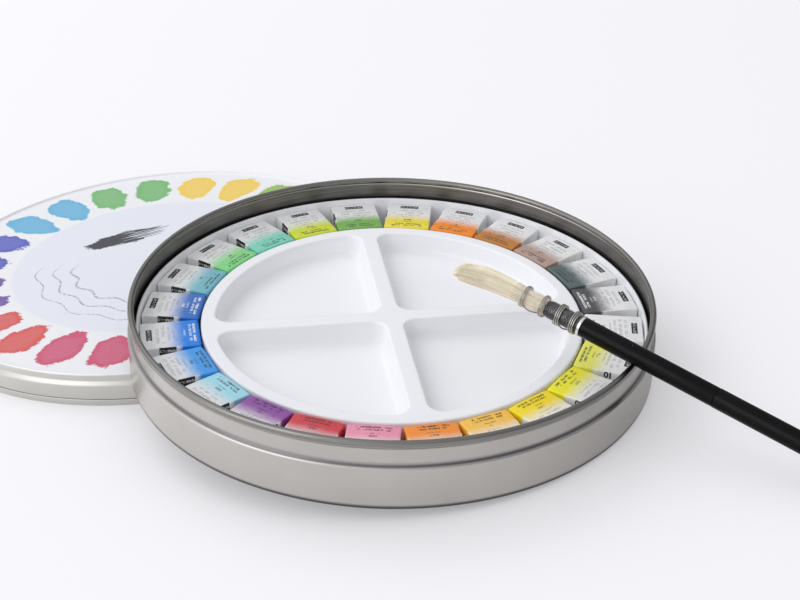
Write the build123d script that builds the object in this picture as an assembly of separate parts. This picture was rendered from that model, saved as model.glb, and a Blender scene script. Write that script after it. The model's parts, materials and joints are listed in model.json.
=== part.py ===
from build123d import *
import os
from math import asin, cos, degrees, floor, pi, radians, sin, sqrt, tan

# Round tin of wrapped watercolour half pans with a mixing palette, its lid
# lying face up under the tilted tin, and a quill mop brush leaning on the rim.
# Millimetres, +Z up, +X to the right of someone facing the set, +Y away.

# Pressed tin, shared by the base and the lid
SHEET = 0.4

# Tin base, heights from its own foot plane
BASE_RADIUS = 85.0
BASE_CORNER = 1.2
FOOT_RING_INNER = 81.0
FLOOR_RECESS = 1.0
STEP_HEIGHT = 14.6
STEP_ROUND = 0.8
NECK_RADIUS = 83.8
CURL_RADIUS = 1.0
CURL_CENTRE = 83.5
RIM_TOP = 23.1
CURL_TURN = 250
FLARE = 1.2

# Tin lid, heights from the table
LID_RADIUS = 85.15
LID_HEIGHT = 11.0
LID_BEAD_CENTRE = 83.4
LID_BEAD_RADIUS = 0.65
LID_PANEL_DROP = 0.9
LID_PANEL_RISE = 0.5
LID_BAND_FOOT = 8.6
LID_SHOULDER_FOOT = 7.2
HEM_HEIGHT = 2.2
HEM_OUTER = 85.3
HEM_INNER = 84.6
HEM_BEVEL = 0.2

# White tray that drops into the base
TRAY_WALL = 0.8
TRAY_BOTTOM = 1.45
TRAY_RADIUS = 82.35
TRAY_RING_TOP = 15.6
TRAY_SKIRT = 3.0
CHANNEL_OUTER = 81.5
PALETTE_RADIUS = 61.8
PALETTE_TOP = 14.0
WELL_RADIUS = 57.3
WELL_DEPTH = 6.5
WELL_DRAFT = 14.0
WELL_CORNER = 5.0
WELL_FLOOR_BEVEL = 1.4
WELL_LIP_BEVEL = 0.5
ARM_WIDTH = 5.6
ARM_ANGLE = 7.0

# Wrapped half pans, long side along the tin's radius
PAN_COUNT = 24
PAN_PITCH = 360 / PAN_COUNT
FIRST_PAN_ANGLE = -21.3
WRAP_INNER_RADIUS = 62.4
WRAP_LENGTH = 18.5
WRAP_WIDTH = 16.1
WRAP_BOTTOM = 2.5
WRAP_TOP = 14.0
WRAP_CROWN = 0.3
WRAP_PAPER = 0.2
WRAP_BEVEL = 0.6
WRAP_INNER_BEVEL = 0.35
WRAP_FOLD_INSET = 1.6
FLAP_THICKNESS = 0.2
FOLD_SLIT = (12.0, 0.6)
CUP_SIZE = (17.7, 15.3)
CUP_HEIGHT = 10.6
CUP_WALL = 1.0
CUP_DRAFT = 2.5
CAKE_DROP = 1.2
FIT_GAP = 0.05

# How the pieces lie: the lid flat on the table, the base propped on its edge
BASE_TILT = 5.2
BASE_TILT_HEADING = -30.9
LID_PLACE = (-84.3, 76.2)

# Brush, distances along its axis from the point that leans on the rim
BRUSH_POINT = (72.3, -44.9, 26.35)
BRUSH_HEADING = -38.0
BRUSH_SLOPE = 14.5
TUFT_TIP = -65.3
TUFT_BELLY = -52.0
TUFT_ROOT = -39.2
QUILL_FRONT = -42.2
HAIR_END = -29.2
TENON_FRONT = -28.9
RING_FRONT = -18.5
HANDLE_FRONT = -17.5
SEAM = 28.4
REAR_TAPER = 56.0
REAR_END = 96.9
QUILL_RADIUS = 3.15
QUILL_BORE = 2.85
TENON_RADIUS = 2.75
RING_RADIUS = 3.25
HANDLE_RADIUS = 3.1
SEAM_RADIUS = 3.05
REAR_RADIUS = 3.12
END_RADIUS = 2.6
END_DOME = 1.8
STUD_RADIUS = 1.5
STUD_LENGTH = 9.0
SOCKET_CLEARANCE = 0.06
SEAM_BEVEL = 0.12

# Hair: straight strands of three sides that swell and then draw in
STRANDS = 300
STRAND_SIDES = 3
BUNDLE_ROOT = 2.55
BUNDLE_BELLY = 3.3
BUNDLE_TIP = 1.35
STRAND_ROOT = 0.1
STRAND_BELLY = 0.09
STRAND_TIP = 0.035
STRAND_SUNK = 0.4
BELLY_DROOP = 0.5
TIP_DROOP = 2.7
TIP_RAGGED = 3.2
GOLDEN_ANGLE = 137.508
GOLDEN_STEP = 0.618034

# Binding wire round the quill
WIRE = 0.4
WIRE_SIDES = 6
WIRE_PITCH = 0.86
WIRE_STANDOFF = 0.12
FRONT_WINDINGS = (-39.1, -32.4)
REAR_WINDINGS = (-26.6, -21.4)
FRONT_TURNS = 2
REAR_TURNS = 3
RUN_BEND = 1.3
RUN_BEND_ANGLE = 35
RUN_SIDE = 205


def tilt_axis():
    """Direction of the tilted base's own axis."""
    lean = sin(radians(BASE_TILT))
    return Vector(
        lean * cos(radians(BASE_TILT_HEADING)),
        lean * sin(radians(BASE_TILT_HEADING)),
        cos(radians(BASE_TILT)),
    )


def base_place():
    """Location of the base's foot plane, its low edge on the table."""
    axis = tilt_axis()
    reach = BASE_RADIUS - BASE_CORNER
    height = reach * sin(radians(BASE_TILT)) + BASE_CORNER * (1 - cos(radians(BASE_TILT)))
    side = Vector(0, 1, 0).cross(axis)
    return Plane(origin=(0, 0, height), x_dir=side, z_dir=axis).location


def brush_place():
    """Location whose X axis runs along the brush towards its rear end."""
    slope = radians(BRUSH_SLOPE)
    heading = radians(BRUSH_HEADING)
    rearward = Vector(cos(slope) * cos(heading), cos(slope) * sin(heading), -sin(slope))
    sideways = Vector(-sin(heading), cos(heading), 0)
    return Plane(origin=BRUSH_POINT, x_dir=rearward, z_dir=rearward.cross(sideways)).location


def revolved(face):
    """Spin a face drawn in the XZ plane round the Z axis."""
    return revolve(face, Axis.Z)


def bend(centre, radius, start, end, steps):
    """Points of a rounded bend, its angles in degrees."""
    turns = [radians(start + (end - start) * step / steps) for step in range(steps + 1)]
    return [(centre[0] + radius * cos(turn), centre[1] + radius * sin(turn)) for turn in turns]


def sheet_section(line):
    """Section of pressed sheet that follows the points of a middle line drawn in XZ."""
    points = [Vector(*point) for point in line]
    ways = [(after - before).normalized() for before, after in zip(points, points[1:])]
    outer = []
    inner = []
    for point, before, after in zip(points, [ways[0], *ways], [*ways, ways[-1]]):
        square = Vector(before.Y + after.Y, -before.X - after.X) / (1 + before.dot(after))
        outer.append(point + square * SHEET / 2)
        inner.append(point - square * SHEET / 2)
    return Plane.XZ * make_face(Polyline(*outer, *reversed(inner), close=True))


def base_middle_line():
    """Floor, foot ring, rounded corner, wall, step, neck and rolled rim."""
    half = SHEET / 2
    wall = BASE_RADIUS - half
    neck = NECK_RADIUS - half
    corner = BASE_CORNER - half
    step = STEP_HEIGHT - half
    floor_level = FLOOR_RECESS + half
    curl = CURL_RADIUS - half
    curl_level = RIM_TOP - CURL_RADIUS
    return [
        (0, floor_level),
        (FOOT_RING_INNER - 1.2, floor_level),
        (FOOT_RING_INNER, half),
        *bend((wall - corner, half + corner), corner, -90, 0, 2),
        *bend((wall - STEP_ROUND, step - STEP_ROUND), STEP_ROUND, 0, 90, 1),
        (neck, step),
        (neck, curl_level - FLARE),
        *bend((CURL_CENTRE, curl_level), curl, 0, CURL_TURN, 5),
    ]


def tin_base():
    return revolved(sheet_section(base_middle_line()))


def lid_middle_line():
    """Flat panel, bead round it, upright band, shoulder and skirt."""
    half = SHEET / 2
    bead = LID_BEAD_RADIUS - half
    bead_level = LID_HEIGHT - LID_BEAD_RADIUS
    panel = LID_HEIGHT - LID_PANEL_DROP - half
    skirt = LID_RADIUS - half
    return [
        (0, panel),
        (LID_BEAD_CENTRE - bead - LID_PANEL_RISE, panel),
        *bend((LID_BEAD_CENTRE, bead_level), bead, 180, 0, 3),
        (LID_BEAD_CENTRE + bead, LID_BAND_FOOT),
        (skirt, LID_SHOULDER_FOOT),
        (skirt, HEM_HEIGHT / 2),
    ]


def hem_section():
    """Folded hem with a flat underside that the lid stands on."""
    bevel = HEM_BEVEL
    return Plane.XZ * make_face(Polyline(
        (HEM_INNER, 0), (HEM_OUTER - bevel, 0), (HEM_OUTER, bevel),
        (HEM_OUTER, HEM_HEIGHT - bevel), (HEM_OUTER - bevel, HEM_HEIGHT), (HEM_INNER, HEM_HEIGHT),
        close=True,
    ))


def tin_lid():
    lid = revolved(sheet_section(lid_middle_line())) + revolved(hem_section())
    return Location((*LID_PLACE, 0)) * lid


def tray_section():
    """Ring, skirt, pan channel and palette plate as one moulded section."""
    wall = TRAY_WALL
    top = TRAY_RING_TOP
    plate = PALETTE_TOP
    bed = TRAY_BOTTOM + wall
    outline = Polyline(
        (0, plate - wall),
        (PALETTE_RADIUS - wall, plate - wall),
        (PALETTE_RADIUS - wall, TRAY_BOTTOM),
        (CHANNEL_OUTER + wall, TRAY_BOTTOM),
        (CHANNEL_OUTER + wall, top - TRAY_SKIRT),
        (TRAY_RADIUS, top - TRAY_SKIRT),
        (TRAY_RADIUS, top),
        (CHANNEL_OUTER, top),
        (CHANNEL_OUTER, bed),
        (PALETTE_RADIUS, bed),
        (PALETTE_RADIUS, plate),
        (0, plate),
        close=True,
    )
    return Plane.XZ * make_face(outline)


def well_outline(grow):
    """One quadrant of the palette, its arc and two arm sides, rounded."""
    inset = ARM_WIDTH / 2 - grow
    radius = WELL_RADIUS + grow
    reach = sqrt(radius ** 2 - inset ** 2)
    middle = radius * cos(radians(45))
    arm = Line((inset, inset), (reach, inset))
    rim = ThreePointArc((reach, inset), (middle, middle), (inset, reach))
    back = Line((inset, reach), (inset, inset))
    face = make_face([arm, rim, back])
    return fillet(face.vertices(), WELL_CORNER + grow)


def well_solid(grow, depth):
    """Tapered quadrant that hangs down from the palette's top."""
    top = Plane(origin=(0, 0, PALETTE_TOP), x_dir=(0, 1, 0), z_dir=(0, 0, -1))
    solid = extrude(top * well_outline(grow), amount=depth, taper=WELL_DRAFT)
    low = solid.faces().sort_by(Axis.Z)[0]
    return chamfer(low.edges(), WELL_FLOOR_BEVEL + grow / 2)


def palette_turns():
    """Turn of each of the four wells about the tray's axis."""
    return [Location((0, 0, 0), (0, 0, ARM_ANGLE + 90 * quarter)) for quarter in range(4)]


def tray():
    body = revolved(tray_section())
    shell = well_solid(TRAY_WALL, WELL_DEPTH + TRAY_WALL)
    hollow = well_solid(0, WELL_DEPTH)
    body = body + [turn * shell for turn in palette_turns()]
    body = body - [turn * hollow for turn in palette_turns()]
    lip_level = PALETTE_TOP - 0.01
    lips = body.edges().filter_by_position(Axis.Z, lip_level, PALETTE_TOP + 0.01)
    lips = [edge for edge in lips if edge.bounding_box().size.Z < 0.01]
    return base_place() * chamfer(lips, WELL_LIP_BEVEL)


def pan_angle(number):
    """Pans are numbered clockwise from the one right of the brush."""
    return FIRST_PAN_ANGLE - PAN_PITCH * (number - 1)


def pan_place(number):
    """Location of a pan's inner end on the base's foot plane, X outwards."""
    return base_place() * Location((0, 0, 0), (0, 0, pan_angle(number))) * Location((WRAP_INNER_RADIUS, 0, 0))


def wrapper_body():
    """Box of folded paper with a crowned top and bevelled upright edges."""
    half = WRAP_WIDTH / 2
    shoulder = WRAP_TOP - WRAP_CROWN
    section = make_face(Polyline(
        (-half, WRAP_BOTTOM), (half, WRAP_BOTTOM), (half, shoulder),
        (half / 2, WRAP_TOP), (-half / 2, WRAP_TOP), (-half, shoulder), close=True,
    ))
    block = extrude(Plane.YZ * section, amount=WRAP_LENGTH)
    return chamfer(block.edges().filter_by(Axis.Z), WRAP_BEVEL)


def end_flap():
    """Folded triangle of paper on an end, widest at the top."""
    half = WRAP_WIDTH / 2 - WRAP_FOLD_INSET
    low = WRAP_BOTTOM + 2.5
    high = WRAP_TOP - 1.0
    shape = make_face(Polyline((-half, high), (half, high), (1.2, low), (-1.2, low), close=True))
    return extrude(Plane.YZ * shape, amount=FLAP_THICKNESS)


def wrapper():
    """Paper sleeve with end flaps and a fold slit along its underside."""
    outside = wrapper_body()
    flap = end_flap()
    outside = outside + Location((-FLAP_THICKNESS, 0, 0)) * flap
    outside = outside + Location((WRAP_LENGTH, 0, 0)) * flap
    inside_low = WRAP_BOTTOM + WRAP_PAPER
    inside_high = WRAP_TOP - WRAP_CROWN - WRAP_PAPER
    inside = Box(WRAP_LENGTH - 2 * WRAP_PAPER, WRAP_WIDTH - 2 * WRAP_PAPER, inside_high - inside_low)
    inside = chamfer(inside.edges().filter_by(Axis.Z), WRAP_INNER_BEVEL)
    inside = Location((WRAP_LENGTH / 2, 0, (inside_low + inside_high) / 2)) * inside
    slit = Location((WRAP_LENGTH / 2, 0, WRAP_BOTTOM)) * Box(*FOLD_SLIT, 4 * WRAP_PAPER)
    return outside - inside - slit


def drafted_block(size, low, high):
    """Block that narrows downwards by the cup's draft."""
    height = high - low
    inset = height * tan(radians(CUP_DRAFT))
    block = Wedge(size[0], height, size[1], inset, inset, size[0] - inset, size[1] - inset)
    return Location((0, 0, (low + high) / 2), (-90, 0, 0)) * block


def half_pan():
    """Moulded cup with drafted walls, filled by a cake of paint."""
    low = WRAP_BOTTOM + WRAP_PAPER + FIT_GAP
    rim = low + CUP_HEIGHT
    outside = drafted_block(CUP_SIZE, low, rim)
    hollow = drafted_block([side - 2 * CUP_WALL for side in CUP_SIZE], low + CUP_WALL, rim)
    above = Location((0, 0, rim)) * Box(*CUP_SIZE, 2 * CAKE_DROP)
    cup = Compound(children=[outside - hollow, hollow - above])
    return Location((WRAP_LENGTH / 2, 0, 0)) * cup


def round_bar(points):
    """Solid of revolution about the brush's own axis, from (along, radius)."""
    return revolve(make_face(Polyline(*points, close=True)), Axis.X)


def handle_front():
    """Tenon in the quill, lacquered front handle and the stud behind it."""
    bevel = SEAM_BEVEL
    return round_bar([
        (TENON_FRONT, 0), (TENON_FRONT, TENON_RADIUS - 0.35), (TENON_FRONT + 1.0, TENON_RADIUS),
        (HANDLE_FRONT, TENON_RADIUS), (HANDLE_FRONT, HANDLE_RADIUS - bevel),
        (HANDLE_FRONT + bevel, HANDLE_RADIUS), (SEAM - bevel, SEAM_RADIUS), (SEAM, SEAM_RADIUS - bevel),
        (SEAM, STUD_RADIUS), (SEAM + STUD_LENGTH - 0.4, STUD_RADIUS), (SEAM + STUD_LENGTH, STUD_RADIUS - 0.4),
        (SEAM + STUD_LENGTH, 0),
    ])


def handle_rear():
    """Rear handle with a socket for the stud, tapered to a domed end."""
    start = SEAM + FIT_GAP
    socket_end = SEAM + STUD_LENGTH + 0.5
    socket = STUD_RADIUS + SOCKET_CLEARANCE
    dome = REAR_END - END_DOME
    dome_radius = (END_DOME ** 2 + END_RADIUS ** 2) / (2 * END_DOME)
    dome_turn = degrees(asin(END_RADIUS / dome_radius))
    outline = Polyline(
        (REAR_END, 0), (socket_end, 0), (socket_end, socket), (start, socket),
        (start, REAR_RADIUS - SEAM_BEVEL), (start + SEAM_BEVEL, REAR_RADIUS),
        (REAR_TAPER, REAR_RADIUS), (dome, END_RADIUS),
    )
    end = CenterArc((REAR_END - dome_radius, 0), dome_radius, 0, dome_turn)
    return revolve(make_face([*outline.edges(), *end.edges()]), Axis.X)


def ring_between(start, end, inner, outer):
    """Plain tube round the brush's axis."""
    return round_bar([(start, inner), (start, outer), (end, outer), (end, inner)])


def silver_ring():
    return ring_between(RING_FRONT, HANDLE_FRONT - FIT_GAP, TENON_RADIUS + FIT_GAP, RING_RADIUS)


def quill_ferrule():
    return ring_between(QUILL_FRONT, RING_FRONT - FIT_GAP, QUILL_BORE, QUILL_RADIUS)


def strand_centre(number, along):
    """Where a strand's middle lies at a distance along the brush."""
    share = sqrt((number + 0.5) / STRANDS)
    turn = radians(GOLDEN_ANGLE * number)
    if along > TUFT_BELLY:
        part = (TUFT_ROOT - along) / (TUFT_ROOT - TUFT_BELLY)
        radius = BUNDLE_ROOT + part * (BUNDLE_BELLY - BUNDLE_ROOT)
        droop = part * BELLY_DROOP
    else:
        part = (TUFT_BELLY - along) / (TUFT_BELLY - TUFT_TIP)
        radius = BUNDLE_BELLY + part * (BUNDLE_TIP - BUNDLE_BELLY)
        droop = BELLY_DROOP + part * (TIP_DROOP - BELLY_DROOP)
    return radius * share * cos(turn), radius * share * sin(turn) - droop


def strand_corners(number, along, size):
    """Corners of a strand's three-sided section, square to the brush's axis."""
    across, up = strand_centre(number, along)
    turns = [radians(360 / STRAND_SIDES * side) for side in range(STRAND_SIDES)]
    return [Vector(along, across + size * cos(turn), up + size * sin(turn)) for turn in turns]


def strand(number):
    """Flat-faced solid through a strand's tip, belly and root."""
    ragged = number * GOLDEN_STEP - floor(number * GOLDEN_STEP)
    rings = [
        strand_corners(number, TUFT_TIP + TIP_RAGGED * ragged ** 2, STRAND_TIP),
        strand_corners(number, TUFT_BELLY, STRAND_BELLY),
        strand_corners(number, TUFT_ROOT + STRAND_SUNK, STRAND_ROOT),
    ]
    outlines = [rings[0], rings[-1]]
    for low, high in zip(rings, rings[1:]):
        for side in range(STRAND_SIDES):
            after = (side + 1) % STRAND_SIDES
            outlines.append([low[side], low[after], high[after], high[side]])
    return Solid(Shell([Face(Wire.make_polygon(outline)) for outline in outlines]))


def bristle_tuft():
    """Bound root of the hair, with the strands fused to its front face."""
    root = round_bar([(TUFT_ROOT, 0), (TUFT_ROOT, TENON_RADIUS), (HAIR_END, TENON_RADIUS), (HAIR_END, 0)])
    return root.fuse(*[strand(number) for number in range(STRANDS)])


def round_quill(along, angle):
    """Point of the wire's middle line at an angle round the quill."""
    radius = QUILL_RADIUS + WIRE_STANDOFF + WIRE / 2
    return Vector(along, radius * cos(radians(angle)), radius * sin(radians(angle)))


def turning(angle, advance):
    """Direction of a turn that advances that far along in a full turn."""
    radius = QUILL_RADIUS + WIRE_STANDOFF + WIRE / 2
    around = 2 * pi * radius
    return Vector(advance, -around * sin(radians(angle)), around * cos(radians(angle))).normalized()


def biarc(start, start_way, end, end_way):
    """Two arcs that leave start and reach end in the given directions."""
    chord = end - start
    both = start_way + end_way
    slack = 2 * (1 - start_way.dot(end_way))
    reach = chord.dot(both)
    if slack < 1e-6:
        size = chord.dot(chord) / (2 * reach)
    else:
        size = (sqrt(reach ** 2 + slack * chord.dot(chord)) - reach) / slack
    first = start + start_way * size
    last = end - end_way * size
    joint = (first + last) * 0.5
    way = (last - first).normalized()
    return [TangentArc(start, joint, tangent=start_way), TangentArc(joint, end, tangent=way)]


def winding_edges(start, first_angle, turns):
    """Quarter turns round the quill, each a pair of arcs."""
    edges = []
    for quarter in range(4 * turns):
        angle = first_angle + 90 * quarter
        along = start + WIRE_PITCH * quarter / 4
        here = round_quill(along, angle)
        there = round_quill(along + WIRE_PITCH / 4, angle + 90)
        edges += biarc(here, turning(angle, WIRE_PITCH), there, turning(angle + 90, WIRE_PITCH))
    return edges


def binding_wire(starts, turns):
    """Two windings of one wire, joined by a straight run along the quill."""
    forward = Vector(1, 0, 0)
    first, second = starts
    leave = first + turns * WIRE_PITCH
    run_start = round_quill(leave + RUN_BEND, RUN_SIDE + RUN_BEND_ANGLE)
    run_end = round_quill(second - RUN_BEND, RUN_SIDE + RUN_BEND_ANGLE)
    entry = RUN_SIDE + 2 * RUN_BEND_ANGLE
    edges = winding_edges(first, RUN_SIDE, turns)
    edges += biarc(round_quill(leave, RUN_SIDE), turning(RUN_SIDE, WIRE_PITCH), run_start, forward)
    edges.append(Line(run_start, run_end))
    edges += biarc(run_end, forward, round_quill(second, entry), turning(entry, WIRE_PITCH))
    edges += winding_edges(second, entry, turns)
    path = Wire([edge for piece in edges for edge in piece.edges()])
    start_plane = Plane(origin=path @ 0, z_dir=path % 0)
    print("binding wire: least gap", round(least_gap(path), 3))
    return sweep(start_plane * RegularPolygon(WIRE / 2, WIRE_SIDES), path=path)


def least_gap(path):
    """Smallest clear distance between stretches of the wire further apart than a half turn."""
    radius = QUILL_RADIUS + WIRE_STANDOFF + WIRE / 2
    step = 0.25
    count = int(path.length / step)
    points = [path @ (index / count) for index in range(count + 1)]
    apart = int(pi * radius / step)
    gaps = [
        (points[low] - points[high]).length
        for low in range(len(points))
        for high in range(low + apart, len(points))
    ]
    return min(gaps) - WIRE


def brush_pieces():
    pieces = {
        "bristle_tuft": bristle_tuft(),
        "quill_ferrule": quill_ferrule(),
        "binding_wire_front": binding_wire(FRONT_WINDINGS, FRONT_TURNS),
        "binding_wire_rear": binding_wire(REAR_WINDINGS, REAR_TURNS),
        "silver_ring": silver_ring(),
        "handle_front": handle_front(),
        "handle_rear": handle_rear(),
    }
    place = brush_place()
    return {name: place * piece for name, piece in pieces.items()}


def pan_pieces():
    paper = wrapper()
    cup = half_pan()
    pieces = {}
    for number in range(1, PAN_COUNT + 1):
        pieces[f"wrapper_{number:02d}"] = pan_place(number) * paper
        pieces[f"half_pan_{number:02d}"] = pan_place(number) * cup
    return pieces


def all_pieces():
    pieces = {"tin_base": base_place() * tin_base(), "tray": tray(), "tin_lid": tin_lid()}
    pieces.update(pan_pieces())
    pieces.update(brush_pieces())
    return pieces


def origin_shift(pieces):
    """Move that puts the middle of the set's footprint at the origin."""
    box = Compound(children=[Compound(piece.solids()) for piece in pieces.values()]).bounding_box()
    return Location((-(box.min.X + box.max.X) / 2, -(box.min.Y + box.max.Y) / 2, -box.min.Z))


def main():
    os.makedirs("parts", exist_ok=True)
    pieces = all_pieces()
    shift = origin_shift(pieces)
    print("origin shift", shift.position)
    for name, piece in pieces.items():
        solids = [shift * solid for solid in piece.solids()]
        whole = solids[0] if len(solids) == 1 else Compound(children=solids)
        whole.label = name
        export_step(whole, f"parts/{name}.step")


main()
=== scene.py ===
import json
import random
from functools import partialmethod
from math import acos, atan2, cos, degrees, hypot, pi, radians, sin, sqrt, tan

import bmesh
import bpy
from mathutils import Matrix, Vector


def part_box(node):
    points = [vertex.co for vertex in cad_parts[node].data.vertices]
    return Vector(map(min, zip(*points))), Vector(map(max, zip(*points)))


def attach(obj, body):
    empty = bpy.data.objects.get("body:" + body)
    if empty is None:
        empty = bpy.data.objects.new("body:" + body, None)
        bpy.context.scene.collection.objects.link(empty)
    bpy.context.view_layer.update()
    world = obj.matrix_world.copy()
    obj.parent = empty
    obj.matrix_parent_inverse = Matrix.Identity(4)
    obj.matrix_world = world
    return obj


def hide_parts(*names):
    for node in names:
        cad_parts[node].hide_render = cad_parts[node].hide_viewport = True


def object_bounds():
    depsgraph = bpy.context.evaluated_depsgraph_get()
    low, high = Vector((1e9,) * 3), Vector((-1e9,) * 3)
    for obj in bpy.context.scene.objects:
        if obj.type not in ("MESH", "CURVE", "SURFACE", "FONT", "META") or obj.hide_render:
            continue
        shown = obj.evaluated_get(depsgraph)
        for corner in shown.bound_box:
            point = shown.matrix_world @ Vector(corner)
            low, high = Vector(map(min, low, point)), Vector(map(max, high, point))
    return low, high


# Looks of a round tin of wrapped watercolour half pans, its printed lid under the
# tilted tin, and a quill mop brush leaning on the rim. Sizes are in millimetres,
# and MM turns them into the frame's metres.

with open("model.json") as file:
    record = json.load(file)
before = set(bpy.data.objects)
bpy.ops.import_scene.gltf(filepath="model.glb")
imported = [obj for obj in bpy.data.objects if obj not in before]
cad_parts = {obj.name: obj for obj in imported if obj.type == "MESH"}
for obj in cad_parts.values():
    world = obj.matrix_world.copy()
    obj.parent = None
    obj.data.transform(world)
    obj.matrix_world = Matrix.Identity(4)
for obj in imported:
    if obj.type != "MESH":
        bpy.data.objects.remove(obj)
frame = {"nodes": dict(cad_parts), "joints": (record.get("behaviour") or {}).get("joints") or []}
cad_low, cad_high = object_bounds()

MM = 0.001
# Thickness of the tinplate
SHEET = 0.4

# Faces round the tin and the brush, least distance of two points, and limits of a fillet
TIN_SEGMENTS = 288
BRUSH_SEGMENTS = 72
MERGE_DISTANCE = 1e-4
SMOOTH_ANGLE = radians(32)
LEAST_BEND = 1e-4
MOST_OF_RUN = 0.49

# The base's place from the lid's centre, with the radius and rounding of the edge it tilts on
BASE_FROM_LID = (84.3, -76.2)
BASE_REACH = 83.8
BASE_CORNER = 1.2

# The brush's place from the base's, at the seam of its handle, and its directions in degrees
BRUSH_POINT = (72.3, -44.9, 26.35)
BRUSH_HEADING = -38.0
BRUSH_SLOPE = 14.5

# Camera: the photograph's viewpoint, from the lid's centre on the table
CAMERA_FROM_LID = (88.32, -535.47, 265.97)
CAMERA_PITCH = 27.531
CAMERA_ROLL = 4.158
CAMERA_LENS = 72.0


def joint_axis(name):
    """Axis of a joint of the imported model."""
    axis = next(joint["axis"] for joint in frame["joints"] if joint["name"] == name)
    return Vector(axis).normalized()


def lid_centre():
    low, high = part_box("tin_lid")
    return Vector(((low.x + high.x) / 2, (low.y + high.y) / 2, 0))


def axes_matrix(x_axis, y_axis, z_axis, origin):
    """Matrix that takes a piece's own millimetres to the frame's metres."""
    matrix = Matrix((x_axis, y_axis, z_axis)).transposed().to_4x4() @ Matrix.Scale(MM, 4)
    matrix.translation = origin
    return matrix


def tin_place():
    """Frame of the tilted tin base, whose low edge stands on the table."""
    up = joint_axis("tray_lift")
    tilt = acos(up.z)
    height = BASE_REACH * sin(tilt) + BASE_CORNER * (1 - cos(tilt))
    origin = LID_CENTRE + Vector((*BASE_FROM_LID, height)) * MM
    side = Vector((up.z, 0, -up.x)).normalized()
    return axes_matrix(side, up.cross(side), up, origin)


def brush_place():
    """X runs along the brush towards its rear end, Z is its upper side."""
    slope = radians(BRUSH_SLOPE)
    heading = radians(BRUSH_HEADING)
    rearward = Vector((cos(slope) * cos(heading), cos(slope) * sin(heading), -sin(slope)))
    sideways = Vector((-sin(heading), cos(heading), 0))
    origin = LID_CENTRE + (Vector((*BASE_FROM_LID, 0)) + Vector(BRUSH_POINT)) * MM
    return axes_matrix(rearward, sideways, rearward.cross(sideways), origin)


LID_CENTRE = lid_centre()
TIN = tin_place()
LID = Matrix.Translation(LID_CENTRE) @ Matrix.Scale(MM, 4)
BRUSH = brush_place()


# Meshes

def link(obj):
    bpy.context.scene.collection.objects.link(obj)
    return obj


def soften(bm):
    """Smooth faces, with an edge kept sharp where the surface really turns."""
    for face in bm.faces:
        face.smooth = True
    for edge in bm.edges:
        edge.smooth = len(edge.link_faces) == 2 and edge.calc_face_angle(0) < SMOOTH_ANGLE


def piece(name, bm, matrix, body, materials, stands_for=()):
    """Turns a bmesh in its own millimetres into a piece that rides on a body."""
    bmesh.ops.remove_doubles(bm, verts=bm.verts, dist=MERGE_DISTANCE)
    bmesh.ops.recalc_face_normals(bm, faces=bm.faces)
    soften(bm)
    mesh = bpy.data.meshes.new(name)
    bm.to_mesh(mesh)
    bm.free()
    mesh.transform(matrix)
    obj = link(bpy.data.objects.new(name, mesh))
    for material in materials:
        mesh.materials.append(material)
    if stands_for:
        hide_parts(*stands_for)
    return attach(obj, body)


def store_local(obj, matrix):
    """Keeps each point's place in its own millimetres, for the material to read."""
    inverse = matrix.inverted()
    data = obj.data.attributes.new("local", "FLOAT_VECTOR", "POINT").data
    for item, vertex in zip(data, obj.data.vertices):
        item.vector = inverse @ vertex.co


def fillet_path(corners, steps=6):
    """Points along straight runs whose corners (x, y, radius) are rounded."""
    points = [Vector(corners[0][:2])]
    for before, corner, after in zip(corners, corners[1:], corners[2:]):
        here = Vector(corner[:2])
        back = Vector(before[:2]) - here
        ahead = Vector(after[:2]) - here
        turn = pi - back.angle(ahead)
        if corner[2] <= 0 or turn < LEAST_BEND:
            points.append(here)
            continue
        reach = min(corner[2] * tan(turn / 2), MOST_OF_RUN * min(back.length, ahead.length))
        start = here + back.normalized() * reach
        end = here + ahead.normalized() * reach
        # A circle's arc, as a rational quadratic curve
        weight = cos(turn / 2)
        for step in range(steps + 1):
            share = step / steps
            low, middle, high = (1 - share) ** 2, 2 * weight * share * (1 - share), share ** 2
            points.append((start * low + here * middle + end * high) / (low + middle + high))
    points.append(Vector(corners[-1][:2]))
    return points


def bridge(bm, first, second, closed=True):
    """Faces between two rows of as many vertices, closed to loops or open."""
    count = len(first)
    for index in range(count if closed else count - 1):
        after = (index + 1) % count
        bm.faces.new((first[index], first[after], second[after], second[index]))


def skin(bm, loops):
    """Closed skin over loops in a row, with a face on each end."""
    for first, second in zip(loops, loops[1:]):
        bridge(bm, first, second)
    bm.faces.new(loops[0])
    bm.faces.new(loops[-1])


def curve_mesh(curve, material):
    """Mesh of a curve, with one material."""
    flat = link(bpy.data.objects.new("flat_curve", curve))
    bpy.context.view_layer.update()
    mesh = bpy.data.meshes.new_from_object(flat)
    bpy.data.objects.remove(flat)
    mesh.materials.clear()
    mesh.materials.append(material)
    return mesh


def arc_points(centre, radius, start, end, steps):
    """Points of an arc, its angles in degrees."""
    turns = [radians(start + (end - start) * step / steps) for step in range(steps + 1)]
    return [Vector(centre) + Vector((cos(turn), sin(turn))) * radius for turn in turns]


def sheet_outline(line):
    """Closed outline of a sheet, half of it on each side of a middle line."""
    left, right = [], []
    for index, point in enumerate(line):
        before = line[max(index - 1, 0)]
        after = line[min(index + 1, len(line) - 1)]
        way = (after - before).normalized()
        across = Vector((-way.y, way.x)) * SHEET / 2
        left.append(point + across)
        right.append(point - across)
    return left + right[::-1]


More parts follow.
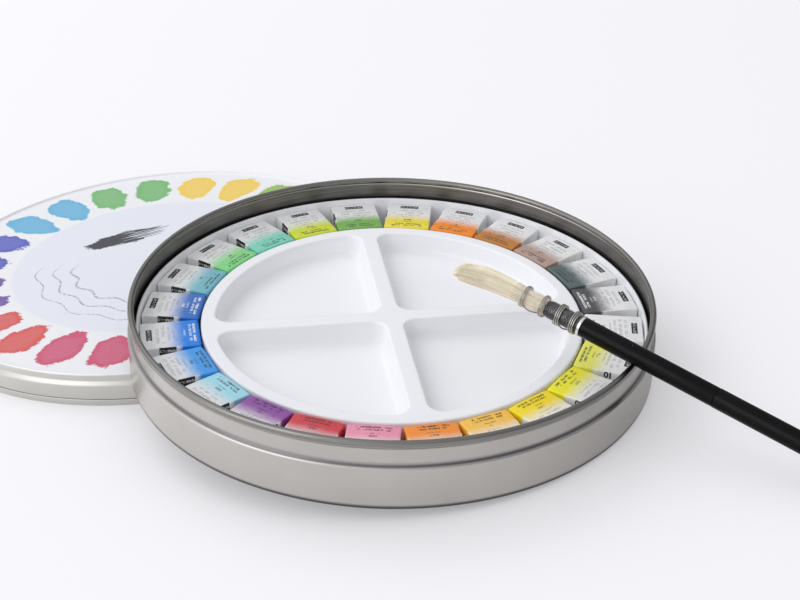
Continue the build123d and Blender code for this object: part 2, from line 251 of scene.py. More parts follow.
def lathe(outline, segments, closed=True, axis="Z"):
    """Surface of revolution of an outline of (radius, height) points, round an axis."""
    bm = bmesh.new()
    rings = []
    for segment in range(segments):
        turn = 2 * pi * segment / segments
        ring = []
        for radius, height in outline:
            across, up = radius * cos(turn), radius * sin(turn)
            ring.append(bm.verts.new((across, up, height) if axis == "Z" else (height, across, up)))
        rings.append(ring)
    for segment in range(segments):
        bridge(bm, rings[segment], rings[(segment + 1) % segments], closed)
    bmesh.ops.remove_doubles(bm, verts=bm.verts, dist=MERGE_DISTANCE)
    return bm


# Materials

class Nodes:
    """A node tree, with short calls for the nodes used here."""

    def __init__(self, tree):
        self.tree = tree

    def add(self, kind, inputs=None, **settings):
        """Shader node with its settings, and its inputs fed by name or number."""
        node = self.tree.nodes.new(f"ShaderNode{kind}")
        for key, value in settings.items():
            setattr(node, key, value)
        for key, value in (inputs or {}).items():
            self.feed(node.inputs[key], value)
        return node

    def feed(self, socket, value):
        """Links an output to a socket, or sets the socket to a value."""
        if isinstance(value, bpy.types.NodeSocket):
            self.tree.links.new(value, socket)
        elif isinstance(value, tuple) and len(value) == 3 and len(socket.default_value) == 4:
            socket.default_value = (*value, 1)
        else:
            socket.default_value = value

    def math(self, operation, first, second=0.0, clamp=False):
        inputs = {0: first, 1: second}
        return self.add("Math", inputs, operation=operation, use_clamp=clamp).outputs[0]

    plus = partialmethod(math, "ADD")
    minus = partialmethod(math, "SUBTRACT")
    times = partialmethod(math, "MULTIPLY")
    over = partialmethod(math, "DIVIDE")
    absolute = partialmethod(math, "ABSOLUTE")

    def invert(self, share):
        return self.minus(1.0, share)

    def affine(self, value, factor, offset):
        """Value times factor, plus offset."""
        return self.plus(self.times(value, factor), offset)

    def length(self, first, second):
        """Length of a vector of two parts."""
        return self.math("SQRT", self.plus(self.times(first, first), self.times(second, second)))

    def spread(self, noise, width):
        """Noise centred on zero, that wide in all."""
        return self.times(self.minus(noise, 0.5), width)

    def band(self, value, centre, half):
        """1 within half of centre, 0 outside."""
        return self.math("LESS_THAN", self.absolute(self.minus(value, centre)), half)

    def rise(self, value, low, high):
        """0 below low, 1 above high, smooth between."""
        inputs = {"Value": value, "From Min": low, "From Max": high}
        return self.add("MapRange", inputs, interpolation_type="SMOOTHSTEP").outputs[0]

    def mix(self, share, first, second):
        """First colour at a share of 0, second at 1."""
        inputs = {"Factor": share, "A": first, "B": second}
        return self.add("Mix", inputs, data_type="RGBA").outputs["Result"]

    def noise(self, scale, detail=2.0, vector=None):
        inputs = {"Scale": scale, "Detail": detail, "Vector": vector or self.position()}
        return self.add("TexNoise", inputs).outputs["Fac"]

    def position(self):
        return self.add("TexCoord").outputs["Object"]

    def attribute(self, name):
        return self.add("Attribute", attribute_name=name)

    def local(self):
        """Place in the piece's own millimetres, as store_local keeps it."""
        return self.attribute("local").outputs["Vector"]

    def split(self, vector):
        """The three parts of a vector."""
        return tuple(self.add("SeparateXYZ", {0: vector}).outputs)

    def join(self, *parts):
        """Vector of up to three parts."""
        return self.add("CombineXYZ", dict(enumerate(parts))).outputs[0]

    def scaled(self, vector, scale):
        return self.add("VectorMath", {0: vector, 1: scale}, operation="MULTIPLY").outputs[0]


class Look(Nodes):
    """A material's look, with calls that set its shader."""

    def __init__(self, name):
        self.material = bpy.data.materials.new(name)
        self.material.use_nodes = True
        super().__init__(self.material.node_tree)
        self.shader = self.tree.nodes["Principled BSDF"]

    def set(self, name, value):
        self.feed(self.shader.inputs[name], value)

    def paint(self, colour, roughness):
        self.set("Base Color", colour)
        self.set("Roughness", roughness)

    def bump(self, height, strength, distance):
        inputs = {"Height": height, "Strength": strength, "Distance": distance}
        self.set("Normal", self.add("Bump", inputs).outputs["Normal"])


def linear(red, green, blue):
    """Scene colour of a colour given in 0 to 255 display values."""
    return tuple(((value / 255 + 0.055) / 1.055) ** 2.4 if value > 10 else value / 255 / 12.92
                 for value in (red, green, blue))


def dimmed(colour, share):
    return tuple(value * share for value in colour)


def tinplate(name, colour, roughness, lines=()):
    """Satin tinned steel with fine mottling, faint rolling marks and, where given, painted shade
    lines round it.
    """
    look = Look(name)
    mottle = look.noise(55.0, 4.0)
    fine = look.noise(900.0, 2.0, look.scaled(look.position(), (1, 1, 0.25)))
    tone = look.mix(mottle, dimmed(colour, 0.82), colour)
    if lines:
        height = look.split(look.local())[2]
        # Each line is painted shade: the tone darkens towards its grey round its height.
        for middle, reach, grey in lines:
            offset = look.absolute(look.minus(height, middle))
            line = (grey, grey * 0.97, grey * 0.98)
            tone = look.mix(look.rise(offset, reach * 0.4, reach), line, tone)
    look.paint(tone, look.affine(mottle, 0.10, roughness - 0.05))
    look.set("Metallic", 1.0)
    look.bump(fine, 0.12, 0.00002)
    return look.material


def white_plastic():
    look = Look("white_plastic")
    cloud = look.noise(30.0)
    look.paint(look.mix(cloud, dimmed(WHITE, 0.985), WHITE), look.affine(cloud, 0.06, 0.19))
    look.bump(look.noise(140.0), 0.05, 0.00003)
    return look.material


def black_lacquer():
    look = Look("black_lacquer")
    cloud = look.noise(220.0, 3.0)
    specks = look.times(look.rise(look.noise(2600.0, 1.0), 0.77, 0.80), 0.3)
    look.paint(look.mix(specks, LACQUER, (0.4, 0.4, 0.4)), look.affine(cloud, 0.12, 0.12))
    look.set("Specular IOR Level", 0.11)
    look.bump(cloud, 0.05, 0.00002)
    return look.material


def tenon_wood():
    """Dark stained wood inside the quill, mottled with violet grey as a painted reflection seen
    through the quill.
    """
    look = Look("tenon")
    # The violet grey mottling is a painted reflection.
    mottle = look.rise(look.noise(900.0, 4.0), 0.5, 0.7)
    look.paint(look.mix(mottle, linear(12, 12, 17), linear(66, 62, 80)), 0.3)
    return look.material


# Colours, in linear values
# The rim's grey below is tinplate painted darker, a painted dark reflection on the curl.
RIM_PAINTED_DARK = (0.27, 0.262, 0.245)
# Painted shade on the inner wall, in the narrow gap by the tray's ring
INSIDE_SHADE = (0.085, 0.083, 0.078)
INSIDE_GREY = (0.165, 0.160, 0.152)
INSIDE_LIGHT = (0.30, 0.29, 0.28)
TIN_GREY = (0.56, 0.54, 0.505)
LID_GREY = (0.56, 0.548, 0.515)
WHITE = linear(244, 245, 248)
PAPER = linear(243, 243, 243)
INK = linear(38, 38, 40)
BLOCK_INK = linear(26, 26, 28)
LACQUER = (0.0035, 0.0035, 0.004)


# Tin base

BASE_RADIUS = 85.0
NECK_RADIUS = 83.8
STEP_HEIGHT = 14.6
NECK_TOP = 20.5
CURL = (83.5, 22.1)
CURL_RADIUS = 0.8
FLOOR_HEIGHT = 1.0
FLOOR_RADIUS = 79.8
FOOT_RADIUS = 81.0

# Where the base's materials change: the inner side's radius and heights, and the rim
INSIDE_RADIUS = 83.62
INSIDE_HEIGHTS = (2.4, 20.6)
RIM_BOTTOM = 21.35

# Painted shade lines round the wall, a painted contact shadow at the foot and painted shade over
# the step: height, reach, grey
TIN_SHADE_LINES = [(0.3, 1.8, 0.09), (15.1, 0.9, 0.40)]

# Heights over which the inner wall goes from painted shade, in the gap by the tray's ring, to grey,
# and to tin grey
SHADE_TO_GREY = (15.0, 18.5)
GREY_TO_TIN = (13.5, 8.0)


def base_line():
    """Middle line of the base's sheet, from the floor's centre to the rolled rim."""
    half = SHEET / 2
    wall, neck, step = BASE_RADIUS - half, NECK_RADIUS - half, STEP_HEIGHT - half
    lip = CURL[0] + CURL_RADIUS
    corners = [
        (0, FLOOR_HEIGHT + half, 0), (FLOOR_RADIUS, FLOOR_HEIGHT + half, 0.8),
        (FOOT_RADIUS, half, 0.8), (wall, half, 1.0), (wall, step, 0.9), (neck, step, 0.15),
        (neck, NECK_TOP, 1.6), (lip, 21.3, 1.6), (lip, CURL[1], 0),
    ]
    return fillet_path(corners, 8) + arc_points(CURL, CURL_RADIUS, 0, 250, 22)[1:]


def tin_inside():
    """Drawn steel with painted shade half way up, in the gap by the tray's ring, and streaks round
    the tin.
    """
    look = Look("tin_inside")
    local = look.local()
    height = look.split(local)[2]
    streaks = look.noise(1.0, 4.0, look.scaled(local, (0.03, 0.03, 2.6)))
    # Painted shade: darkest around the tray ring's height, lighter above and below.
    tone = look.mix(look.rise(height, *SHADE_TO_GREY), INSIDE_SHADE, INSIDE_GREY)
    tone = look.mix(look.rise(height, *GREY_TO_TIN), tone, TIN_GREY)
    streak = look.mix(0.5, tone, INSIDE_LIGHT)
    tone = look.mix(look.rise(streaks, 0.35, 0.65), tone, streak)
    look.paint(tone, look.affine(streaks, 0.2, 0.28))
    look.set("Metallic", 1.0)
    return look.material


def make_base():
    outer = tinplate("tin_outside", TIN_GREY, 0.29, TIN_SHADE_LINES)
    inner = tin_inside()
    # The rim is tinplate painted darker than the wall, a painted dark reflection on the curl.
    rim = tinplate("tin_rim_painted_dark", RIM_PAINTED_DARK, 0.24)
    bm = lathe(sheet_outline(base_line()), TIN_SEGMENTS)
    low, high = INSIDE_HEIGHTS
    for face in bm.faces:
        centre = face.calc_center_median()
        inside = hypot(centre.x, centre.y) < INSIDE_RADIUS and low < centre.z < high
        face.material_index = 1 if inside else 2 if centre.z > RIM_BOTTOM else 0
    obj = piece("tin_base_shell", bm, TIN, "base", [outer, inner, rim], ["tin_base"])
    store_local(obj, TIN)


# Tin lid

LID_RADIUS = 85.15
LID_TOP = 11.0
PANEL_DROP = 0.9
BEAD = (83.4, 10.35)
BEAD_RADIUS = 0.45

# The printed faces: inside this radius and above this height
PRINT_RADIUS = 83.9
PRINT_BOTTOM = 9.7

# Paint strokes: count, radius of their ring, half width, width over length, colours of pairs
DAB_COUNT = 24
DAB_RING = 67.5
DAB_REACH = 7.4
DAB_SQUASH = 0.62
DABS = [
    (40, 140, 66), (140, 186, 44), (246, 206, 24), (96, 180, 90), (70, 174, 220), (30, 56, 186),
    (96, 44, 156), (216, 40, 24), (206, 20, 96), (238, 106, 10), (248, 190, 10), (180, 104, 36),
]

# Ink swash: place, turn in degrees, half length and half width
SWASH_PLACE = (-14.0, 24.0)
SWASH_TURN = 24.0
SWASH_SIZE = (18.0, 5.4)

# Wavy lines: radius and width of each, waves in a whole turn, and their height
WAVES = [(31.0, 1.0), (37.5, 0.8), (44.0, 0.6)]
WAVE_COUNT = 15
WAVE_HEIGHT = 1.2


def lid_line():
    """Middle line of the lid's sheet, from the panel's centre to the hem."""
    half = SHEET / 2
    inner, outer, height = BEAD[0] - BEAD_RADIUS, BEAD[0] + BEAD_RADIUS, BEAD[1]
    panel = LID_TOP - PANEL_DROP - half
    skirt = LID_RADIUS - half
    rise = [(0, panel, 0), (82.2, panel, 0.5), (inner, height - 0.1, 0.2), (inner, height, 0)]
    fall = [(outer, height, 0), (outer, 8.5, 0.9), (skirt, 7.2, 0.9), (skirt, 2.45, 0)]
    bead = arc_points(BEAD, BEAD_RADIUS, 180, 0, 12)[1:-1]
    return fillet_path(rise, 5) + bead + fillet_path(fall)


def hem_outline():
    """Folded hem that the lid stands on."""
    return fillet_path([(84.95, 0, 0), (85.3, 0, 0.18), (85.3, 2.2, 0.22), (84.6, 2.2, 0.18),
                        (84.6, 0, 0.18), (84.95, 0, 0)], 4)[:-1]


def lid_print():
    """White lacquer with a ring of paint strokes, a dark swash and pale waves."""
    look = Look("lid_print")
    local = look.local()
    across, along = look.split(local)[:2]
    radius = look.length(across, along)
    angle = look.math("ARCTAN2", along, across)
    turn = look.math("FRACT", look.plus(look.over(angle, 2 * pi), 1.0))
    fine = look.noise(0.9, 4.0, local)
    coarse = look.noise(0.16, 3.0, local)
    ragged = look.plus(look.spread(coarse, 6.0), look.spread(fine, 2.2))
    outside = look.rise(radius, 53.0, 54.5)
    ground = look.mix(outside, linear(234, 237, 246), linear(243, 244, 247))
    ground = look.mix(waves_mask(look, radius, turn, along, fine), ground, linear(168, 172, 186))
    ground = look.mix(swash_mask(look, across, along, ragged), ground, linear(40, 40, 46))
    strokes, edges = dab_masks(look, radius, turn, ragged)
    wash = look.mix(look.times(fine, 0.12), dab_colours(look, turn), WHITE)
    strength = look.plus(look.times(strokes, 0.94), look.times(edges, 0.06), clamp=True)
    look.paint(look.mix(strength, ground, wash), look.affine(fine, 0.04, 0.28))
    look.set("Coat Weight", 0.3)
    look.set("Coat Roughness", 0.12)
    return look.material


def dab_masks(look, radius, turn, ragged):
    """Short strokes that point to the lid's centre, and their darker edges."""
    offset = look.minus(look.math("FRACT", look.times(turn, DAB_COUNT)), 0.5)
    sideways = look.times(offset, 2 * pi * DAB_RING / DAB_COUNT)
    inwards = look.times(look.minus(radius, DAB_RING), DAB_SQUASH)
    uneven = look.plus(look.length(sideways, inwards), ragged)
    edge = DAB_REACH - 0.8
    stroke = look.invert(look.rise(uneven, edge, DAB_REACH))
    return stroke, look.times(stroke, look.rise(uneven, DAB_REACH - 3.4, edge))


def dab_colours(look, turn):
    """Colour of each stroke, by its turn round the lid."""
    ramp = look.add("ValToRGB")
    ramp.color_ramp.interpolation = "CONSTANT"
    elements = ramp.color_ramp.elements
    while len(elements) < len(DABS):
        elements.new(0.5)
    for index, colour in enumerate(DABS):
        elements[index].position = index / len(DABS)
        elements[index].color = (*linear(*colour), 1)
    number = look.math("FLOOR", look.times(turn, DAB_COUNT))
    look.feed(ramp.inputs[0], look.over(look.plus(number, 0.5), DAB_COUNT))
    return ramp.outputs[0]


def swash_mask(look, across, along, ragged):
    """One dark ink swash off the lid's centre, dry towards its right end."""
    turn = radians(SWASH_TURN)
    right = look.minus(across, SWASH_PLACE[0])
    back = look.minus(along, SWASH_PLACE[1])
    reach = look.plus(look.times(right, cos(turn)), look.times(back, sin(turn)))
    side = look.minus(look.times(back, cos(turn)), look.times(right, sin(turn)))
    size = look.length(look.over(reach, SWASH_SIZE[0]), look.over(side, SWASH_SIZE[1]))
    size = look.plus(size, look.times(ragged, 0.12))
    hairs = look.noise(1.3, 2.0, look.join(look.times(reach, 0.05), side))
    worn = look.minus(look.plus(hairs, look.times(reach, 0.012)), 0.56)
    ink = look.invert(look.rise(worn, 0.0, 0.05))
    return look.times(look.invert(look.rise(size, 0.85, 1.0)), ink)


def waves_mask(look, radius, turn, along, fine):
    """Pale wavy lines across the front half of the lid's middle."""
    wave = look.math("SINE", look.times(turn, 2 * pi * WAVE_COUNT))
    ripple = look.plus(radius, look.times(wave, WAVE_HEIGHT))
    total = 0.0
    for reach, width in WAVES:
        total = look.plus(total, look.band(ripple, reach, width / 2))
    front = look.rise(along, 6.0, -6.0)
    return look.times(look.times(total, front), look.rise(fine, 0.3, 0.6))


def make_lid():
    metal = tinplate("lid_side", LID_GREY, 0.34)
    bm = lathe(sheet_outline(lid_line()), TIN_SEGMENTS)
    for face in bm.faces:
        centre = face.calc_center_median()
        printed = hypot(centre.x, centre.y) < PRINT_RADIUS and centre.z > PRINT_BOTTOM
        face.material_index = 1 if printed else 0
    obj = piece("tin_lid_shell", bm, LID, "lid", [metal, lid_print()], ["tin_lid"])
    store_local(obj, LID)
    hem = lathe(hem_outline(), TIN_SEGMENTS)
    piece("tin_lid_hem", hem, LID, "lid", [metal], ())


# Tray with its four mixing wells

# Where the plate with the wells meets the turned ring
PALETTE_JOIN = 60.4
PALETTE_TOP = 14.0

# Wells: radius, half an arm's width, rounding in plan, depth and draft
WELL_RADIUS = 57.3
WELL_INSET = 2.8
WELL_CORNER = 5.0
WELL_DEPTH = 6.5
WELL_DRAFT = 14.0
LIP_ROUND = 0.8
FLOOR_ROUND = 2.2
ARM_ANGLE = 7.0

# Thickness of the moulding, the channel for the pans and the outer wall
TRAY_WALL = 0.8
CHANNEL_INNER = 61.8
CHANNEL_OUTER = 81.5
CHANNEL_FLOOR = 2.25
RING_OUTER = 82.35
RING_TOP = 15.6
RING_BOTTOM = 1.45
LOW_JOIN = PALETTE_JOIN - 0.2
LOW_PLATE = PALETTE_TOP - TRAY_WALL
JOIN_TOLERANCE = 1e-3


def well_outline(grow):
    """Points round one quadrant of the palette, grown outwards by grow."""
    inset, radius, corner = WELL_INSET - grow, WELL_RADIUS + grow, max(WELL_CORNER + grow, 0.3)
    low = inset + corner
    reach = sqrt((radius - corner) ** 2 - low ** 2)
    outer = degrees(atan2(low, reach))
    points = [Vector((low + (reach - low) * step / 10, inset)) for step in range(10)]
    points += arc_points((reach, low), corner, -90, outer, 8)[:-1]
    points += arc_points((0, 0), radius, outer, 90 - outer, 28)[:-1]
    points += arc_points((low, reach), corner, 90 - outer, 180, 8)[:-1]
    points += [Vector((inset, reach + (low - reach) * step / 10)) for step in range(10)]
    points += arc_points((low, low), corner, 180, 270, 8)[:-1]
    return points


def well_walls():
    """Grow and drop of each loop from the palette's top down to the well's floor."""
    foot = -WELL_DEPTH * tan(radians(WELL_DRAFT))
    return fillet_path([(LIP_ROUND + 0.6, 0, 0), (0, 0, LIP_ROUND),
                        (foot, -WELL_DEPTH, FLOOR_ROUND),
                        (foot - 2.0 * FLOOR_ROUND, -WELL_DEPTH, 0)], 8)


def add_loop(bm, points, height, turn):
    """Vertices of a flat loop, turned about the palette's centre."""
    spin = Matrix.Rotation(turn, 2)
    return [bm.verts.new((*(spin @ point), height)) for point in points]


def loop_edges(bm, loop):
    return [bm.edges.get((loop[index], loop[index - 1])) for index in range(len(loop))]


def palette_side(bm, walls, top, rim):
    """Plate with four wells, filled out to the rim's loop of vertices."""
    edges = []
    for quarter in range(4):
        turn = radians(ARM_ANGLE + 90 * quarter)
        loops = [add_loop(bm, well_outline(grow), top + drop, turn) for grow, drop in walls]
        for first, second in zip(loops, loops[1:]):
            bridge(bm, first, second)
        bm.faces.new(loops[-1])
        edges += loop_edges(bm, loops[0])
    edges += loop_edges(bm, rim)
    bmesh.ops.triangle_fill(bm, edges=edges, use_beauty=True)


def tray_ring_outline():
    """Open section of the tray outside the palette, from its top to its underside."""
    inner = CHANNEL_INNER - TRAY_WALL
    corners = [
        (PALETTE_JOIN, PALETTE_TOP, 0), (61.75, PALETTE_TOP, 0.7),
        (CHANNEL_INNER, CHANNEL_FLOOR, 0.6), (CHANNEL_OUTER, CHANNEL_FLOOR, 0.6),
        (CHANNEL_OUTER, RING_TOP, 0.3), (RING_OUTER, RING_TOP, 0.3),
        (RING_OUTER, RING_BOTTOM, 1.0), (inner, RING_BOTTOM, 0.8),
        (inner, LOW_PLATE, 0.3), (LOW_JOIN, LOW_PLATE, 0),
    ]
    return fillet_path(corners)


def make_tray():
    white = white_plastic()
    bm = lathe(tray_ring_outline(), TIN_SEGMENTS, closed=False)
    top_rim = rim_vertices(bm, PALETTE_JOIN, PALETTE_TOP)
    low_rim = rim_vertices(bm, LOW_JOIN, LOW_PLATE)
    walls = well_walls()
    palette_side(bm, walls, PALETTE_TOP, top_rim)
    palette_side(bm, [(grow + TRAY_WALL, drop) for grow, drop in walls], LOW_PLATE, low_rim)
    piece("tray_moulding", bm, TIN, "tray", [white], ["tray"])


def rim_vertices(bm, radius, height):
    """Vertices at that radius and height, in order of their turn."""
    found = [vertex for vertex in bm.verts
             if abs(vertex.co.z - height) < JOIN_TOLERANCE
             and abs(hypot(vertex.co.x, vertex.co.y) - radius) < JOIN_TOLERANCE]
    return sorted(found, key=lambda vertex: atan2(vertex.co.y, vertex.co.x))


# Wrapped half pans

PAN_COUNT = 24
FIRST_PAN_ANGLE = -21.3

# Wrapper: radius of its inner end on the tin, length, half width, heights and crown
WRAP_INNER_RADIUS = 62.4
WRAP_LENGTH = 18.5
WRAP_HALF = 8.05
WRAP_BOTTOM = 2.5
WRAP_TOP = 14.0
WRAP_CROWN = 0.3
WRAP_SAG = 0.10
WRAP_ENDS = [(0.0, 0.55), (0.1, 0.25), (0.35, 0.07), (0.8, 0.0)]
FLAP_OUT = 0.18
FLAP_IN = 0.02
PAN_COLOURS = [
    (238, 236, 96), (246, 240, 30), (250, 224, 24), (250, 196, 74), (246, 146, 44),
    (238, 150, 178), (212, 58, 70), (146, 78, 164), (164, 222, 238), (58, 158, 238),
    (12, 130, 232), (46, 112, 198), (118, 186, 200), (134, 218, 138), (124, 212, 188),
    (208, 222, 48), (120, 176, 80), (238, 220, 60), (242, 138, 22), (190, 122, 46),
    (178, 150, 138), (78, 96, 96), (74, 74, 78), (240, 240, 240),
]
LIGHT_INK_PANS = (11, 12, 23)

# Numbers on the side: place along and up, and the last pan that shows one
NUMBER_PLACE = (11.2, 12.4)
NUMBER_SIZE = 2.9
NUMBER_BOLD = 0.11
NUMBER_LIFT = 0.005
LAST_NUMBERED_PAN = 9

# Where the colour fades along the wrapper, and where its side starts
FADE_ON_TOP = (4.2, 11.8)
FADE_ON_SIDE = (5.6, 7.4)
SIDE_START = (7.5, 7.9)

# Rows of print on a wrapper's top: distance from the inner end, half height, half length, strength
PRINT_ROWS = [
    (1.55, 0.42, 5.4, 0.92), (2.85, 0.42, 5.0, 0.80), (4.7, 0.32, 1.9, 0.55), (6.1, 0.5, 1.3, 0.72),
    (8.2, 0.3, 2.6, 0.38), (9.7, 0.42, 4.4, 0.34), (11.4, 0.55, 5.6, 0.34), (13.2, 0.55, 5.2, 0.30),
]

# Black blocks: distance from the inner end, half height, and half length or lowest height
BLOCK_ON_TOP = (15.9, 0.95, 3.3)
BLOCK_ON_SIDE = (10.4, 2.7, 10.4)
FAR_SIDE = 7.7


def print_group():
    """Shared node group: how much ink a wrapper's place holds."""
    tree = bpy.data.node_groups.new("wrapper_print", "ShaderNodeTree")
    sockets = [("Place", "INPUT", "Vector"), ("Seed", "INPUT", "Float"), ("Ink", "OUTPUT", "Float")]
    for name, way, kind in sockets:
        tree.interface.new_socket(name, in_out=way, socket_type=f"NodeSocket{kind}")
    look = Nodes(tree)
    source = tree.nodes.new("NodeGroupInput")
    result = tree.nodes.new("NodeGroupOutput")
    along, across = look.split(source.outputs["Place"])[:2]
    seed = source.outputs["Seed"]
    strokes = stroke_mask(look, along, across, seed)
    total = 0.0
    for number, (centre, half, length, strength) in enumerate(PRINT_ROWS):
        row = look.times(look.band(along, centre, half), look.band(across, 0.0, length))
        row = look.times(row, word_mask(look, across, seed, number))
        total = look.plus(total, look.times(row, strength))
    look.feed(result.inputs["Ink"], look.times(total, strokes, clamp=True))
    return tree


def stroke_mask(look, along, across, seed):
    """Fine broken strokes that read as small print from a step away."""
    place = look.join(look.times(along, 1.5), look.times(across, 3.4), seed)
    return look.rise(look.noise(1.0, 1.0, place), 0.40, 0.52)


def word_mask(look, across, seed, number):
    """Gaps between words, different in each row."""
    place = look.join(look.times(across, 0.55), look.plus(seed, number * 7.3))
    return look.rise(look.noise(1.0, 0.0, place), 0.36, 0.40)


def wrapper_paper(number, full, group):
    """Glossy printed paper: colour that fades to white, print rows, black blocks and painted shade
    low on the sides.
    """
    look = Look(f"wrapper_paper_{number:02d}")
    local = look.local()
    along, across, up = look.split(local)
    side = look.rise(look.absolute(across), *SIDE_START)
    cloud = look.noise(0.35, 2.0, local)
    shifted = look.plus(along, look.spread(cloud, 1.6))
    top_colour = look.mix(look.rise(shifted, *FADE_ON_TOP), full, PAPER)
    # Painted shade: the side's colour is darker lower down.
    side_shade_to_full = look.mix(look.rise(up, 6.0, 13.5), dimmed(full, 0.62), full)
    side_colour = look.mix(look.rise(shifted, *FADE_ON_SIDE), side_shade_to_full, PAPER)
    base = look.mix(side, top_colour, side_colour)
    ink = look.add("Group")
    ink.node_tree = group
    look.feed(ink.inputs["Place"], local)
    look.feed(ink.inputs["Seed"], number * 3.7)
    on_top = look.times(ink.outputs["Ink"], look.invert(side))
    inner_ink = PAPER if number in LIGHT_INK_PANS else INK
    ink_colour = look.mix(look.rise(along, 7.0, 7.4), inner_ink, INK)
    base = look.mix(on_top, base, ink_colour)
    base = look.mix(block_mask(look, local, along, across, up, side), base, BLOCK_INK)
    look.paint(base, look.affine(cloud, 0.15, 0.22))
    look.bump(look.noise(0.5, 3.0, local), 0.25, 0.00012)
    return look.material


def block_mask(look, local, along, across, up, side):
    """Black blocks near the outer end, with pale broken strokes."""
    on_top = look.invert(side)
    centre, half, length = BLOCK_ON_TOP
    top = look.times(look.band(along, centre, half), look.band(across, 0.0, length))
    top = look.times(top, on_top)
    top_marks = look.times(look.band(along, centre, 0.42), on_top)
    centre, half, lowest = BLOCK_ON_SIDE
    flank = look.math("GREATER_THAN", across, FAR_SIDE)
    flank = look.times(look.band(along, centre, half), flank)
    flank = look.times(flank, look.math("GREATER_THAN", up, lowest))
    side_marks = look.times(look.band(up, 12.5, 0.45), side)
    flecks = look.rise(look.noise(2.2, 1.0, local), 0.5, 0.54)
    marks = look.times(flecks, look.plus(top_marks, side_marks))
    block = look.plus(top, flank, clamp=True)
    return look.times(block, look.invert(look.times(marks, 0.75)))


def wrapper_section(crown, inset):
    """Points round a wrapper's section, drawn in by inset at its ends."""
    half, low, high = WRAP_HALF - inset, WRAP_BOTTOM + inset, WRAP_TOP - WRAP_CROWN - inset
    corners = [(0, low, 0), (half, low, 0.5), (half, high, 0.4), (0, high, 0)]
    right = [tuple(point) for point in fillet_path(corners, 4)[:-1]]
    edge = right[-1][0]
    right += [(edge * (1 - step / 8), high + crown * sin(radians(90 * step / 8)))
              for step in range(1, 8)]
    top = [(0, high + crown)]
    left = [(-x, y) for x, y in reversed(right[1:])]
    return [Vector(point) for point in right + top + left]


def make_wrapper_mesh(rng):
    """Box of folded paper with a soft crown, rounded ends and folded end flaps."""
    bm = bmesh.new()
    crown = WRAP_CROWN * rng.uniform(0.55, 1.0)
    stations = WRAP_ENDS + [(WRAP_LENGTH * share, 0.0) for share in (0.25, 0.5, 0.75)]
    stations += [(WRAP_LENGTH - place, inset) for place, inset in reversed(WRAP_ENDS)]
    loops = []
    for place, inset in stations:
        sag = WRAP_SAG * sin(pi * place / WRAP_LENGTH)
        section = wrapper_section(crown - sag * rng.uniform(0.0, 0.6), inset)
        loops.append([bm.verts.new((place, point.x, point.y)) for point in section])
    skin(bm, loops)
    add_flap(bm, -FLAP_OUT, FLAP_IN)
    add_flap(bm, WRAP_LENGTH - FLAP_IN, WRAP_LENGTH + FLAP_OUT)
    return bm


def add_flap(bm, near, far):
    """Folded triangle of paper on an end of the wrapper."""
    half, low, high = WRAP_HALF - 1.6, WRAP_BOTTOM + 2.5, WRAP_TOP - 1.0
    outline = [(-half, high), (half, high), (1.2, low), (-1.2, low)]
    skin(bm, [[bm.verts.new((place, x, y)) for x, y in outline] for place in (near, far)])


def pan_place(number):
    """Frame of a pan: X points outwards, and the origin is at its inner end."""
    angle = radians(FIRST_PAN_ANGLE - 360 / PAN_COUNT * (number - 1))
    return TIN @ Matrix.Rotation(angle, 4, "Z") @ Matrix.Translation((WRAP_INNER_RADIUS, 0, 0))


def make_number(tag, place, ink):
    """Plain pan number on the wrapper's side, near its outer end."""
    name = f"pan_number_{tag}"
    curve = bpy.data.curves.new(name, "FONT")
    curve.body = tag
    curve.size = NUMBER_SIZE
    curve.extrude = 0.01
    curve.offset = NUMBER_BOLD
    curve.space_character = 0.88
    curve.align_x = "CENTER"
    curve.align_y = "CENTER"
    mesh = curve_mesh(curve, ink)
    middle = (NUMBER_PLACE[0], -WRAP_HALF - NUMBER_LIFT, NUMBER_PLACE[1])
    mesh.transform(place @ (Matrix.Translation(middle) @ Matrix.Rotation(radians(90), 4, "X")))
    obj = link(bpy.data.objects.new(name, mesh))
    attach(obj, f"pan_{tag}")


def make_pans():
    group = print_group()
    ink = Look("number_ink")
    ink.paint(ink.mix(ink.noise(800.0), INK, BLOCK_INK), 0.4)
    for number, colours in enumerate(PAN_COLOURS, 1):
        tag = f"{number:02d}"
        colour = linear(*colours)
        place = pan_place(number)
        paper = wrapper_paper(number, colour, group)
        bm = make_wrapper_mesh(random.Random(number))
        node = f"wrapper_{tag}"
        obj = piece(f"paper_{node}", bm, place, f"pan_{tag}", [paper], [node])
        store_local(obj, place)
        if number <= LAST_NUMBERED_PAN:
            make_number(tag, place, ink.material)
        cake = frame["nodes"][f"half_pan_{tag}"].data.materials
        cake.clear()
        cake.append(paint_cake(tag, colour))


def paint_cake(tag, colour):
    """Dry paint in its cup, inside the wrapper."""
    look = Look(f"paint_cake_{tag}")
    cloud = look.noise(500.0, 4.0)
    look.paint(look.mix(cloud, dimmed(colour, 0.7), colour), 0.6)
    look.bump(cloud, 0.3, 0.0001)
    return look.material


# Brush

# Places along the brush, from its handle's seam, and below zero towards the tip
TUFT_TIP = -65.3
TUFT_ROOT = -39.2
HAIR_END = -30.6
TENON_FRONT = -30.9
TENON_END = -17.6
QUILL_FRONT = -42.2
QUILL_END = -18.56
QUILL_OUTER = 3.15
QUILL_INNER = 2.85

# Round end of the handle
END_RADIUS = 2.767
END_CENTRE = 94.13

# Strands. The outer ones, past LONG_SHARE of the radius, reach back into the quill
STRANDS = 2300
STRAND_SIDES = 3
STRAND_STEPS = 8
LONG_SHARE = 0.9
CLUMPS = 46
CLUMP_AIM = 0.2
STRAND_AIM = 0.12
STRAND_THICK = (0.04, 0.07)
MIDDLE_TONE = 0.68
TONE_SPREAD = 0.32
HAIR_SEED = 5
GOLDEN_ANGLE = 137.508

